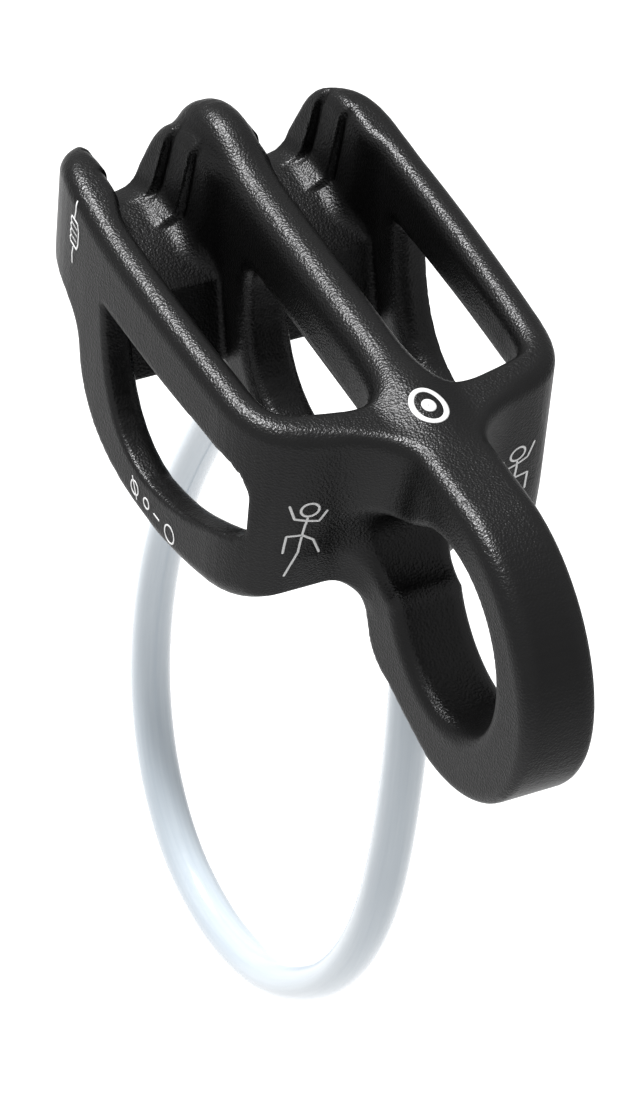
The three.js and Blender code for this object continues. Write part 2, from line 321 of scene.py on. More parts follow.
@dataclass(frozen=True)
class MilkySleeve:
    """Glossy extruded plastic, pale blue-white and slightly milky."""

    pale: tuple[float, float, float] = (0.28, 0.32, 0.36)
    clear: tuple[float, float, float] = (0.40, 0.44, 0.475)
    roughness: float = 0.16
    draw_lines_around: float = 26.0

    def material(self) -> bpy.types.Material:
        """Builds the material.

        Returns:
            A glossy plastic with faint lengthwise draw lines and a milky body.
        """
        graph = Graph("milky_extruded_sleeve")
        uv = Shade(graph, graph.node("ShaderNodeTexCoord", {}, {}).outputs["UV"])
        lines = graph.noise(graph.stretched(uv, (0.6, self.draw_lines_around, 1.0)), 1.0, 3.0)
        cloud = graph.noise(graph.object_point(), 60.0, 2.0)
        scuff = graph.noise(graph.object_point(), 900.0, 3.0)
        return graph.feed(
            Base_Color=graph.blend(lines * 0.6 + cloud * 0.4, self.pale, self.clear),
            Roughness=self.roughness + (scuff - 0.5) * 0.12,
            Normal=graph.bump(lines * 0.8 + scuff * 0.2, 0.25, 0.00006),
            Subsurface_Weight=0.15,
            Subsurface_Radius=(0.0016, 0.0018, 0.0020),
            Coat_Weight=0.35,
            Coat_Roughness=0.08,
        )


@dataclass(frozen=True)
class DrawnSteel:
    """Bright drawn or turned steel."""

    name: str
    dark: tuple[float, float, float] = (0.42, 0.43, 0.44)
    bright: tuple[float, float, float] = (0.66, 0.67, 0.68)
    roughness: float = 0.3
    streak: tuple[float, float, float] = (600.0, 600.0, 5200.0)

    def material(self) -> bpy.types.Material:
        """Builds the material.

        Returns:
            A metal with fine streaks in its colour, roughness and surface.
        """
        graph = Graph(self.name)
        streaks = graph.noise(graph.stretched(graph.object_point(), self.streak), 1.0, 3.0)
        return graph.feed(
            Base_Color=graph.blend(streaks, self.dark, self.bright),
            Roughness=self.roughness + (streaks - 0.5) * 0.18,
            Normal=graph.bump(streaks, 0.2, 0.00003),
            Metallic=1.0,
        )


@dataclass(frozen=True)
class EtchedMark:
    """Pale laser-etched marking on the anodising."""

    name: str
    pale: tuple[float, float, float] = (0.60, 0.60, 0.60)
    dull: tuple[float, float, float] = (0.42, 0.42, 0.42)

    def material(self) -> bpy.types.Material:
        """Builds the material.

        Returns:
            A matt pale grey broken up by the blasted grain under it.
        """
        graph = Graph(self.name)
        point = graph.object_point()
        grain = graph.cells(point, 4200.0)
        fleck = graph.noise(point, 3000.0, 2.0)
        return graph.feed(
            Base_Color=graph.blend(fleck, self.dull, self.pale),
            Roughness=0.55 + (fleck - 0.5) * 0.2,
            Normal=graph.bump(grain, 0.4, 0.00004),
        )


# ---- meshes ----------------------------------------------------------------------------------


def grid_faces(rows: int, columns: int, wrap: bool) -> Array:
    """Quads of a grid of points numbered row by row; wrap joins last column to first."""
    last = columns if wrap else columns - 1
    row, column = np.meshgrid(np.arange(rows - 1), np.arange(last), indexing="ij")
    after = (column + 1) % columns
    corners = (
        row * columns + column, row * columns + after,
        (row + 1) * columns + after, (row + 1) * columns + column,
    )
    return np.stack(corners, axis=-1).reshape(-1, 4)


def write_mesh(name: str, points: Array, quads: Array, material: bpy.types.Material) -> bpy.types.Object:
    """Writes points in metres and quads into a smooth-shaded object at the origin.

    Args:
        name: The piece's name.
        points: Array (n, 3), in metres.
        quads: Array (m, 4) of point numbers.
        material: Its finish.

    Returns:
        The new object, linked to the scene.
    """
    mesh = bpy.data.meshes.new(name)
    mesh.vertices.add(len(points))
    mesh.vertices.foreach_set("co", points.astype(np.float32).ravel())
    mesh.loops.add(quads.size)
    mesh.loops.foreach_set("vertex_index", quads.astype(np.int32).ravel())
    mesh.polygons.add(len(quads))
    mesh.polygons.foreach_set("loop_start", np.arange(0, quads.size, 4, dtype=np.int32))
    mesh.polygons.foreach_set("use_smooth", np.ones(len(quads), bool))
    mesh.update(calc_edges=True)
    mesh.validate()
    mesh.materials.append(material)
    piece = bpy.data.objects.new(name, mesh)
    bpy.context.scene.collection.objects.link(piece)
    return piece


def unit(vectors: Array) -> Array:
    """Vectors divided by their own lengths, along the last axis."""
    length = np.linalg.norm(vectors, axis=-1, keepdims=True)
    return vectors / np.maximum(length, 1e-12)


# ---- distance fields -------------------------------------------------------------------------


def round_and(a: Array, b: Array, radius: float) -> Array:
    """Intersection of two distance fields with its edge rounded.

    Inside both, the deeper of the two distances holds; where both are nearer to zero than
    the radius, the value is the distance to a quarter circle that joins the two faces.

    Args:
        a: A field, negative inside.
        b: A field, negative inside.
        radius: The edge radius.

    Returns:
        The combined field.
    """
    u = np.maximum(a + radius, 0.0)
    v = np.maximum(b + radius, 0.0)
    return np.minimum(np.maximum(a, b), -radius) + np.sqrt(u * u + v * v)


def round_or(a: Array, b: Array, radius: float) -> Array:
    """Union of two distance fields with a fillet: the mirror image of round_and."""
    return -round_and(-a, -b, radius)


def ease(value: Array, start: float, stop: float) -> Array:
    """Smooth step: 0 before start, 1 after stop, 3t^2 - 2t^3 between."""
    t = np.clip((value - start) / (stop - start), 0.0, 1.0)
    return t * t * (3.0 - 2.0 * t)


class Outline:
    """A closed flat outline of straight runs and Bezier curves, kept as a polygon."""

    STEPS = 9

    def __init__(self, u: float, v: float) -> None:
        """Starts the outline.

        Args:
            u: First coordinate of the start.
            v: Second coordinate of the start.
        """
        self.points: list[tuple[float, float]] = [(u, v)]

    def line(self, u: float, v: float) -> "Outline":
        """Adds a straight run to a point."""
        self.points.append((u, v))
        return self

    def curve(self, *controls: tuple[float, float]) -> "Outline":
        """Adds a Bezier run.

        The curve is the Bernstein sum of the last point and the controls: one control and
        an end make it quadratic, two controls and an end make it cubic.

        Args:
            *controls: The controls and, last, the end.

        Returns:
            The outline, for the next run.
        """
        knots = np.array([self.points[-1], *controls])
        degree = len(knots) - 1
        t = np.linspace(0.0, 1.0, self.STEPS + 1)[1:, None]
        run = sum(
            math.comb(degree, k) * t**k * (1 - t) ** (degree - k) * knots[k]
            for k in range(degree + 1)
        )
        self.points.extend(map(tuple, run))
        return self

    def distance(self, u: Array, v: Array) -> Array:
        """Signed distance to the polygon, negative inside.

        The distance is the least over the sides of the distance to each side; a point is
        inside where a ray along +u crosses an odd number of sides.

        Args:
            u: First coordinates.
            v: Second coordinates, of a shape that broadcasts with u.

        Returns:
            The signed distances.
        """
        u, v = np.broadcast_arrays(np.asarray(u, float), np.asarray(v, float))
        nearest = np.full(u.shape, np.inf)
        odd = np.zeros(u.shape, bool)
        loop = self.points + [self.points[0]]
        for (u0, v0), (u1, v1) in zip(loop, loop[1:]):
            du, dv = u1 - u0, v1 - v0
            size = du * du + dv * dv
            if size < 1e-12:
                continue
            pu, pv = u - u0, v - v0
            along = np.clip((pu * du + pv * dv) / size, 0.0, 1.0)
            nearest = np.minimum(nearest, (pu - along * du) ** 2 + (pv - along * dv) ** 2)
            if dv != 0.0:
                straddles = (v0 > v) != (v1 > v)
                odd ^= straddles & (pu < du * pv / dv)
        return np.where(odd, -1.0, 1.0) * np.sqrt(nearest)


def surface_net(axes: tuple[Array, Array, Array], values: Array) -> tuple[Array, Array]:
    """Quads that follow the zero surface of a field sampled on a box grid.

    Each cell that the surface passes through gets one point, the mean of the crossings on
    its edges; each grid edge that crosses the surface gets one quad joining the four cells
    round it, turned to face outwards.

    Args:
        axes: The grid's X, Y and Z stations.
        values: The field at the grid's points, negative inside.

    Returns:
        Points and quads.
    """
    inside = values < 0.0
    cells = tuple(n - 1 for n in values.shape)
    total = np.zeros((*cells, 3))
    hits = np.zeros(cells)
    places = np.meshgrid(*axes, indexing="ij")
    for axis in range(3):
        low = [slice(None)] * 3
        high = [slice(None)] * 3
        low[axis], high[axis] = slice(None, -1), slice(1, None)
        low_values, high_values = values[tuple(low)], values[tuple(high)]
        crossed = inside[tuple(low)] != inside[tuple(high)]
        share = np.where(crossed, low_values / (low_values - high_values + 1e-30), 0.0)
        spots = np.stack(
            [p[tuple(low)] + share * (p[tuple(high)] - p[tuple(low)]) for p in places], axis=-1
        )
        others = [other for other in range(3) if other != axis]
        for first in (0, 1):
            for second in (0, 1):
                part = [slice(None)] * 3
                part[others[0]] = slice(first, first + cells[others[0]])
                part[others[1]] = slice(second, second + cells[others[1]])
                chosen = crossed[tuple(part)]
                total += spots[tuple(part)] * chosen[..., None]
                hits += chosen
    used = hits > 0
    number = np.full(cells, -1, np.int64)
    number[used] = np.arange(used.sum())
    points = total[used] / hits[used][:, None]
    quads = []
    for axis in range(3):
        second, third = (axis + 1) % 3, (axis + 2) % 3
        low = [slice(1, -1)] * 3
        high = [slice(1, -1)] * 3
        low[axis], high[axis] = slice(None, -1), slice(1, None)
        starts, ends = inside[tuple(low)], inside[tuple(high)]
        where = np.argwhere(starts != ends)
        where[:, second] += 1
        where[:, third] += 1
        outward = starts[tuple((where - np.eye(3, dtype=int)[second] - np.eye(3, dtype=int)[third]).T)]
        ring = []
        for back_second, back_third in ((1, 1), (0, 1), (0, 0), (1, 0)):
            cell = where.copy()
            cell[:, second] -= back_second
            cell[:, third] -= back_third
            ring.append(number[tuple(cell.T)])
        ring = np.stack(ring, axis=-1)
        quads.append(np.where(outward[:, None], ring, ring[:, ::-1]))
    return points, np.concatenate(quads)


# ---- the forging -----------------------------------------------------------------------------


@dataclass
class Forging:
    """The one-piece body: walls, saddles, braking grooves, windows and anchor eye.

    It is a distance field in millimetres. Side outlines in (Y, Z) are cut by a plan outline
    in (X, Y), the rope slots are taken out, the divider and the eye plate are put in, and
    every edge gets its own radius.
    """

    slot_width: float = 12.7
    divider_half: float = 2.75
    side_wall: float = 4.0
    plate_half: float = 4.3
    slot_front: float = 17.6
    slot_back: float = 55.6
    nose: float = 71.8
    rail_top: float = 16.8
    divider_top: float = 18.1
    arm_sole: float = -10.9
    eye_radius: float = 10.8
    eye_ring: float = 17.2
    lobe_centre: tuple[float, float] = (10.5, 1.0)
    lobe_radius: float = 5.0
    saddle_lip: float = 4.4
    saddle_crown: float = 7.8
    ribs: tuple[tuple[float, float], ...] = ((62.5, 0.9), (67.2, 0.8))
    rim_radius: float = 1.95
    eye_edge: float = 1.7
    neck_fillet: float = 6.4
    shoulder_edge: float = 2.2
    divider_edge: float = 2.5
    window_edge: float = 0.45
    slot_edge: float = 0.55
    slot_end_corner: float = 4.2
    divider_end_corner: float = 5.2
    saddle_edge: float = 0.7
    groove_fillet: float = 2.0
    groove_lean: float = 2.4
    relief_depth: float = 0.26
    inner_flare: float = 1.2
    outer_flare: float = 2.2
    inner_apex: float = 2.6
    grid_start: tuple[float, float, float] = (-20.9, -19.4, -19.6)
    grid_stop: tuple[float, float] = (20.91, 22.6)
    grid_step: float = 0.46
    fine_step: float = 0.3
    outlines: dict = field(default_factory=dict, repr=False)

    def __post_init__(self) -> None:
        """Draws the flat outlines once."""
        self.outlines = {
            "profile": self._profile_outline(),
            "front": self._front_outline(),
            "divider": self._divider_outline(),
            "plan": self._plan_outline(True),
            "slot": self._plan_outline(False),
            "window": self._window_outline(0.0),
            "inner_window": self._window_outline(self.inner_apex),
            "rope": self._rope_outline(),
            "flank": self._flank_outline(),
        }

    def _rim_and_sole(self, shape: Outline, rim: float, hump: float) -> Outline:
        """Adds the run shared by all walls: rim, hump, nose, saddle's underside and sole.

        Args:
            shape: The outline so far, ending on the rim.
            rim: Height of the rim.
            hump: Rise of the rim at the nose.

        Returns:
            The same outline, ending on the sole.
        """
        back, nose, sole, lip = self.slot_back, self.nose, self.arm_sole, self.saddle_lip
        shape.line(back - 3, rim + 0.4)
        shape.curve((back + 2, rim + 0.7), (back + 4, rim + hump), (back + 7.2, rim + hump))
        shape.curve((nose - 4.2, rim + hump), (nose - 0.8, rim + hump - 3), (nose, rim - 5))
        shape.line(nose, self.saddle_crown - 0.6)
        shape.curve((nose, lip - 1.4), (nose - 4.4, lip - 1.5))
        shape.line(nose - 9.2, lip - 1.8)
        shape.curve((back + 2.4, lip - 2.2), (back + 1.5, lip - 5.6))
        shape.curve((back + 0.2, sole + 4.6), (back - 3.5, sole + 0.2), (back - 14, sole - 0.1))
        return shape.line(self.slot_front + 14, sole)

    def _profile_outline(self) -> Outline:
        """Whole side view: ring, neck, rim, nose, sole and the keeper's boss."""
        ring, front, hole, sole = self.eye_ring, self.slot_front, self.eye_radius, self.arm_sole
        boss = -ring + 1.8
        shape = Outline(0.0, ring)
        shape.curve((4.0, ring + 0.1), (8.0, ring + 0.1)).line(front - 4.6, self.rail_top + 0.25)
        self._rim_and_sole(shape.line(front + 6.0, self.rail_top), self.rail_top, 1.2)
        shape.curve((front + 7.0, sole + 0.8), (front + 1.2, sole + 2.5))
        shape.line(hole + 6.2, sole + 2.1).line(hole + 4.6, sole - 1.0)
        shape.curve((hole + 3.4, boss), (hole - 1.2, boss - 0.3))
        shape.curve((hole - 6.0, boss - 1.8), (0.0, -ring - 1.0))
        for angle in np.linspace(1.5 * math.pi, 0.5 * math.pi, 40)[1:-1]:
            shape.line((ring + 1) * math.cos(angle), -0.5 + (ring + 0.5) * math.sin(angle))
        return shape

    def _front_outline(self) -> Outline:
        """Side limit of the wide part: raked front face and the rise of the sole behind it."""
        front, sole = self.slot_front - 5.0, self.arm_sole
        shape = Outline(front - 1.3, self.rail_top + 6.0).line(front + 5.2, sole + 4.5)
        shape.curve((front + 9.0, sole + 1.5), (front + 20.0, sole - 0.6))
        return shape.line(95.0, sole - 20.0).line(95.0, self.rail_top + 6.0)

    def _divider_outline(self) -> Outline:
        """Side view of the divider, running out as a low ridge along the neck."""
        front, sole = self.slot_front, self.arm_sole
        shape = Outline(front - 4.0, sole + 2.4).line(front - 12.0, self.rail_top - 9.0)
        shape.line(front - 12.0, self.rail_top - 2.6)
        top = self.divider_top
        shape.curve((front - 7.0, self.rail_top - 0.4), (front - 2.0, top - 0.2), (front + 6.0, top))
        self._rim_and_sole(shape, self.divider_top, 2.4)
        return shape.curve((front + 4, sole + 0.4), (front - 4.0, sole + 2.4))

    def _plan_outline(self, closed_nose: bool) -> Outline:
        """Plan view: shoulders at the eye end, slightly bowed sides and a rounded nose.

        Args:
            closed_nose: False lets the sides run on past the nose, for the slots.

        Returns:
            The outline in (X, Y), both halves.
        """
        half, front = self.plate_half, self.slot_front - 6.0
        right = Outline(0.0, front - 0.4).line(half + 0.8, front).line(half + 9.4, front + 3.9)
        right.curve((half + 13.0, front + 5.5), (half + 14.5, front + 8.6), (half + 14.6, front + 15.0))
        right.curve((half + 14.9, 32.0), (half + 15.6, 48.0), (half + 14.8, 60.0))
        if closed_nose:
            right.curve((half + 14.3, 66.0), (half + 12.2, self.nose - 0.8), (half + 7.4, self.nose))
            right.line(0.0, self.nose)
        else:
            right.line(half + 14.2, self.nose + 20.0).line(0.0, self.nose + 20.0)
        mirrored = [(-u, v) for u, v in reversed(right.points[1:-1])]
        right.points.extend(mirrored)
        return right

    def _window_outline(self, dull: float) -> Outline:
        """Window through the walls: apex by the saddle, straight top, curved sill.

        Args:
            dull: How far the apex is rounded back; 0 leaves it pointed.

        Returns:
            The outline in (Y, Z).
        """
        front, apex = self.slot_front + 1.7, self.slot_back - 4.4
        top, sill = self.rail_top - 7.0, self.arm_sole + 4.4
        shape = Outline(apex - 0.3 * dull, top - 0.9 - dull)
        if dull > 0.0:
            shape.curve((apex - 0.2 * dull, top - 0.2), (apex - 1.2 * dull, top))
        shape.line(front + 4, top)
        shape.curve((front, top), (front, top - 3.6)).line(front, sill + 9.2)
        shape.curve((front + 0.1, sill + 7.4), (front + 3.4, sill + 6.2))
        shape.curve((front + 9, sill + 3.6), (front + 12, sill + 1.4), (front + 20, sill + 0.6))
        end = (apex - 0.3 * dull, top - 0.9 - dull)
        return shape.curve((apex - 5, sill + 0.9), (apex - 1.6, sill + 5), end)

    def _rope_outline(self) -> Outline:
        """Side view of the space a rope may take: open above, below and over the saddle."""
        back, nose, crown = self.slot_back, self.nose, self.saddle_crown
        below, above = self.arm_sole - 15.0, self.rail_top + 20.0
        shape = Outline(self.slot_front - 9, below).line(back + 4, below)
        shape.line(back + 4, self.arm_sole + 5).line(back - 2.4, self.arm_sole + 6)
        shape.line(back, self.saddle_lip)
        shape.curve((back + 5, crown), (back + 11, crown))
        shape.curve((nose - 1, crown - 0.2), (nose + 3, crown - 4))
        return shape.line(nose + 3, above).line(self.slot_front - 9, above)

    def _flank_outline(self) -> Outline:
        """Wedge under the straight upper flank that joins the eye to the release lobe."""
        y, z = self.lobe_centre
        span = math.hypot(y, z)
        angle = math.atan2(z, y) + math.acos((self.eye_radius - self.lobe_radius) / span)
        ny, nz = math.cos(angle), math.sin(angle)
        shape = Outline(0.0, 0.0).line(y, z)
        shape.line(y + self.lobe_radius * ny, z + self.lobe_radius * nz)
        return shape.line(self.eye_radius * ny, self.eye_radius * nz)

    def _slots(self, x: Array, y: Array, z: Array) -> Array:
        """Field of the space taken by both ropes, with the ribbed braking grooves.

        A slot is the side outline of the rope's space cut by the bowed plan less the wall.
        Beyond the saddle lip its two sides lean in towards the floor; each rib leans in a
        little further, with a narrow relief in front of it and a small ledge at its foot.

        Args:
            x: Distances from the middle plane.
            y: Stations.
            z: Heights.

        Returns:
            The field, negative where the rope may be.
        """
        bow = self.outlines["slot"].distance(x, y) + self.side_wall
        plan = round_and(bow, self.slot_front - y, self.slot_end_corner)
        plan = round_and(plan, self.divider_half - x, self.divider_end_corner)
        well = round_and(plan, self.outlines["rope"].distance(y, z), self.saddle_edge)
        middle = self.divider_half + 0.5 * self.slot_width
        depth = np.clip((self.rail_top + 0.6 - z) / (self.rail_top - self.saddle_lip), 0.0, 1.15)
        floor = self.saddle_crown - 0.35 * np.maximum(y - 66.0, 0.0)
        foot = 1.0 - ease(z, floor + 0.3, floor + 1.0)
        share = ease(y, self.slot_back - 2.0, self.slot_back + 4.6)
        lean = self.groove_lean * share * (0.22 + 0.78 * depth)
        opening = 1.0 - ease(y, self.slot_back - 2.0, self.slot_back + 3.6)
        half = 0.5 * self.slot_width + 2.2 * opening - lean
        for station, extra in self.ribs:
            past = ease(y, station - 0.14, station + 0.14)
            relief = np.exp(-(((y - station + 0.36) / 0.26) ** 2)) * (1.0 - foot)
            step = past * (extra * (0.7 + 0.3 * depth) + 0.4 * foot)
            half = half - step + self.relief_depth * relief
        grooves = (np.abs(x - middle) - half) * 0.96
        return round_and(well, grooves, self.groove_fillet)

    def _keyhole(self, y: Array, z: Array) -> Array:
        """Field of the anchor eye, the release lobe and the flank between them."""
        eye = np.hypot(y, z) - self.eye_radius
        lobe = np.hypot(y - self.lobe_centre[0], z - self.lobe_centre[1]) - self.lobe_radius
        flank = self.outlines["flank"].distance(y, z)
        return round_or(round_or(eye, lobe, 1.1), flank + 0.25, 0.9)

    def _windows(self, x: Array, y: Array, z: Array) -> Array:
        """Field of the windows, opening out in a quarter circle towards the slots.

        Args:
            x: Distances from the middle plane.
            y: Stations.
            z: Heights.

        Returns:
            The field, negative in the openings.
        """
        inside = x < self.divider_half + 6.0
        radius = np.where(inside, self.inner_flare, self.outer_flare)
        wall = self.outlines["slot"].distance(x, y) + self.side_wall
        into = np.where(inside, self.divider_half - x, wall)
        rise = radius - np.clip(into, 0.0, radius)
        flare = radius - np.sqrt(np.maximum(radius**2 - rise**2, 0.0))
        inner = self.outlines["inner_window"].distance(y, z)
        return np.where(inside, inner, self.outlines["window"].distance(y, z)) - flare

    def field(self, across: Array, y: Array, z: Array) -> Array:
        """The body's distance field.

        Args:
            across: X stations, of a shape that broadcasts with the others.
            y: Y stations.
            z: Z stations.

        Returns:
            The field in millimetres, negative inside the metal.
        """
        x = np.abs(across)
        low = 1.0 - ease(z, -6.0, 14.0)
        front, profile = (self.outlines[name].distance(y, z) for name in ("front", "profile"))
        wide = round_and(front, self.outlines["plan"].distance(x, y), self.shoulder_edge)
        plate = np.maximum(x - self.plate_half, y - self.slot_front - 1.0)
        whole = round_or(wide, plate, self.neck_fillet - 2.4 * low)
        whole = round_and(whole, profile, self.rim_radius - 0.9 * low)
        rim = ease(z, 8.5, 12.5)
        whole = round_and(whole, -self._slots(x, y, z), self.slot_edge + (self.rim_radius - 0.6) * rim)
        edge = self.outlines["divider"].distance(y, z)
        divider = round_and(edge, x - self.divider_half, self.divider_edge)
        whole = round_or(whole, divider, 0.7 + 2.2 * (1.0 - ease(y, 18.0, 27.0)))
        whole = round_and(whole, -self._windows(x, y, z), self.window_edge)
        return round_and(whole, -self._keyhole(y, z), self.eye_edge)

    def gradient(self, points: Array, step: float = 0.02) -> Array:
        """Slope of the field by central differences.

        Args:
            points: Array (n, 3).
            step: Half the difference's span.

        Returns:
            Array (n, 3).
        """
        slopes = []
        for axis in np.eye(3) * step:
            high, low = points + axis, points - axis
            slopes.append((self.field(*high.T) - self.field(*low.T)) / (2.0 * step))
        return np.stack(slopes, axis=-1)

    def settle(self, points: Array, rounds: int = 3) -> Array:
        """Moves points onto the surface by Newton steps along the slope.

        Args:
            points: Array (n, 3).
            rounds: Number of steps.

        Returns:
            The moved points.
        """
        for _ in range(rounds):
            slope = self.gradient(points)
            size = np.maximum((slope**2).sum(axis=1), 0.25)
            move = -(self.field(*points.T) / size)[:, None] * slope
            length = np.linalg.norm(move, axis=1, keepdims=True)
            points = points + move * np.minimum(1.0, 0.25 / np.maximum(length, 1e-9))
        return points

    def _stations(self) -> tuple[Array, Array, Array]:
        """Grid stations: even across and up, finer along the ribbed grooves."""
        x = np.arange(self.grid_start[0], self.grid_stop[0], self.grid_step)
        coarse = np.arange(self.grid_start[1], self.slot_back + 5.0, self.grid_step)
        fine = np.arange(coarse[-1] + self.fine_step, self.nose + 1.2, self.fine_step)
        z = np.arange(self.grid_start[2], self.grid_stop[1], self.grid_step)
        return x, np.concatenate([coarse, fine]), z

    def build(self, material: bpy.types.Material) -> bpy.types.Object:
        """Meshes the field and dresses it.

        Args:
            material: The finish.

        Returns:
            The body piece.
        """
        axes = self._stations()
        values = self.field(axes[0][:, None, None], axes[1][None, :, None], axes[2][None, None, :])
        points, quads = surface_net(axes, values)
        points = self.settle(points)
        normals = unit(self.gradient(points))
        piece = write_mesh("forged_body", points * MM, quads, material)
        edge = piece.data.attributes.new("edge", "FLOAT", "POINT")
        edge.data.foreach_set("value", self._edge_share(points, normals).astype(np.float32))
        LOG.info("forged_body: %d quads", len(quads))
        return piece

    def _edge_share(self, points: Array, normals: Array) -> Array:
        """How sharply the surface turns away, 0 on flats and 1 on tight convex edges.

        The field is read a short way out along four tangents; on a convex edge those
        places lie outside the metal by the drop of the surface.

        Args:
            points: Array (n, 3) on the surface.
            normals: Array (n, 3).

        Returns:
            Array (n,).
        """
        reach, sharp = 0.7, 0.16
        helper = np.where(np.abs(normals[:, 2:]) < 0.9, [[0.0, 0.0, 1.0]], [[1.0, 0.0, 0.0]])
        first = unit(np.cross(normals, helper))
        second = np.cross(normals, first)
        sides = (first, -first, second, -second)
        total = sum(self.field(*(points + side * reach).T) for side in sides)
        return np.clip(total / (4.0 * reach * sharp), 0.0, 1.0)


# ---- marks -----------------------------------------------------------------------------------


class Face(Enum):
    """The side of the body that a mark is pressed onto, with its direction of travel."""

    LEFT = (1.0, 0.0, 0.0)
    RIGHT = (-1.0, 0.0, 0.0)
    FRONT = (0.0, 1.0, 0.0)
    TOP = (0.0, 0.0, -1.0)


@dataclass
class Stroke:
    """One etched line: points in the mark's own plane, in millimetres, and its width."""

    points: Array
    width: float = 0.27

    def resampled(self) -> Array:
        """Points spaced evenly along the line, about 0.11 mm apart."""
        steps = np.linalg.norm(np.diff(self.points, axis=0), axis=1)
        along = np.concatenate([[0.0], np.cumsum(steps)])
        places = np.linspace(0.0, along[-1], max(6, int(along[-1] / 0.11) + 1))
        return np.stack([np.interp(places, along, self.points[:, k]) for k in (0, 1)], axis=1)

    def closed(self) -> bool:
        """Whether the line ends where it starts."""
        return bool(np.linalg.norm(self.points[0] - self.points[-1]) < 1e-6)


@dataclass
class Mark:
    """A pictogram of etched strokes laid on the body's surface."""

    name: str
    face: Face
    centre: tuple[float, float, float]
    strokes: list[Stroke]
    proud: float = 0.035
    sunk: float = 0.06
    across: int = 5
    stand_off: float = 9.0
    landing_steps: int = 60

    def _landed(self, flat: Array, forging: Forging) -> Array:
        """Drops flat points onto the body along the face's direction.

        Args:
            flat: Array (n, 2): the two coordinates across the direction, from the centre.
            forging: The body.

        Returns:
            Array (n, 3) on the surface.
        """
        travel = np.array(self.face.value)
        free = [axis for axis in range(3) if travel[axis] == 0.0]
        points = np.tile(np.array(self.centre, float), (len(flat), 1))
        points[:, free[0]] += flat[:, 0]
        points[:, free[1]] += flat[:, 1]
        points -= travel * self.stand_off
        for _ in range(self.landing_steps):
            points = points + travel * np.clip(forging.field(*points.T), -1.0, 1.0)[:, None] * 0.9
        return points

    def _strip(self, stroke: Stroke, forging: Forging) -> tuple[Array, Array]:
        """A closed strip that follows the surface under one stroke.

        Rows of points are laid across the stroke at even shares of its width; the upper
        face is those points raised along the surface's normal, the lower face the same
        points sunk, and the width narrows as a half circle at open ends.

        Args:
            stroke: The stroke.
            forging: The body.

        Returns:
            Points and quads.
        """
        flat = stroke.resampled()
        ahead = unit(np.gradient(flat, axis=0))
        if stroke.closed():
            ahead[0] = ahead[-1] = unit(flat[1] - flat[-2])
        side = np.stack([ahead[:, 1], -ahead[:, 0]], axis=1)
        run = np.linspace(0.0, 1.0, len(flat))
        length = np.linalg.norm(np.diff(flat, axis=0), axis=1).sum()
        gap = np.minimum(run, 1.0 - run) * length * 2.0 / stroke.width
        half = 0.5 * stroke.width * np.sqrt(np.clip(1.0 - (1.0 - np.minimum(gap, 1.0)) ** 2, 0.1, 1.0))
        if stroke.closed():
            half = np.full(len(flat), 0.5 * stroke.width)
        share = np.linspace(1.0, -1.0, self.across)
        rows = flat[:, None, :] + side[:, None, :] * (half[:, None] * share)[..., None]
        spots = self._landed(rows.reshape(-1, 2), forging)
        normal = unit(forging.gradient(spots))
        top = (spots + normal * self.proud).reshape(len(flat), self.across, 3)
        under = (spots - normal * self.sunk).reshape(len(flat), self.across, 3)[:, ::-1]
        ring = np.concatenate([top, under], axis=1)
        columns = 2 * self.across
        count = len(flat)
        if stroke.closed():
            faces = grid_faces(count, columns, True) % ((count - 1) * columns)
            return ring[:-1].reshape(-1, 3), faces
        faces = grid_faces(count, columns, True)
        k = np.arange(self.across - 1)
        first = np.stack([k, k + 1, columns - 2 - k, columns - 1 - k], axis=1)
        last = first[:, ::-1] + (count - 1) * columns
        return ring.reshape(-1, 3), np.concatenate([faces, first[:, ::-1], last[:, ::-1]])

    def build(self, forging: Forging, material: bpy.types.Material) -> bpy.types.Object:
        """Lays every stroke and joins them in one mesh with its faces turned outwards.

        Args:
            forging: The body the strokes lie on.
            material: The finish.

        Returns:
            The mark.
        """
        points, quads, start = [], [], 0
        for stroke in self.strokes:
            ring, faces = self._strip(stroke, forging)
            points.append(ring)
            quads.append(faces + start)
            start += len(ring)
        piece = write_mesh(self.name, np.concatenate(points) * MM, np.concatenate(quads), material)
        turn_outwards(piece)
        LOG.info("%s: %d quads", self.name, len(piece.data.polygons))
        return piece


def turn_outwards(piece: bpy.types.Object) -> None:
    """Recalculates a closed mesh's faces so that they point outwards."""
    mesh = bmesh.new()
    mesh.from_mesh(piece.data)
    bmesh.ops.recalc_face_normals(mesh, faces=mesh.faces)
    mesh.to_mesh(piece.data)
    mesh.free()


def hoop(u: float, v: float, radius: float, width: float = 0.27, stretch: float = 1.0) -> Stroke:
    """A closed ring stroke: centre plus radius times cosine and stretched sine."""
    angle = np.linspace(0.0, 2.0 * math.pi, 49)
    points = np.stack([u + radius * np.cos(angle), v + stretch * radius * np.sin(angle)], axis=1)
    points[-1] = points[0]
    return Stroke(points, width)


def line(*points: tuple[float, float], width: float = 0.27) -> Stroke:
    """An open stroke through points."""
    return Stroke(np.array(points, float), width)


# ---- keeper loop -----------------------------------------------------------------------------


def mixed(at: Array, start: float, stop: float, first: Array, second: Array) -> Array:
    """Straight blend of two points: the first at the start time, the second at the stop."""
    return (stop - at) / (stop - start) * first + (at - start) / (stop - start) * second


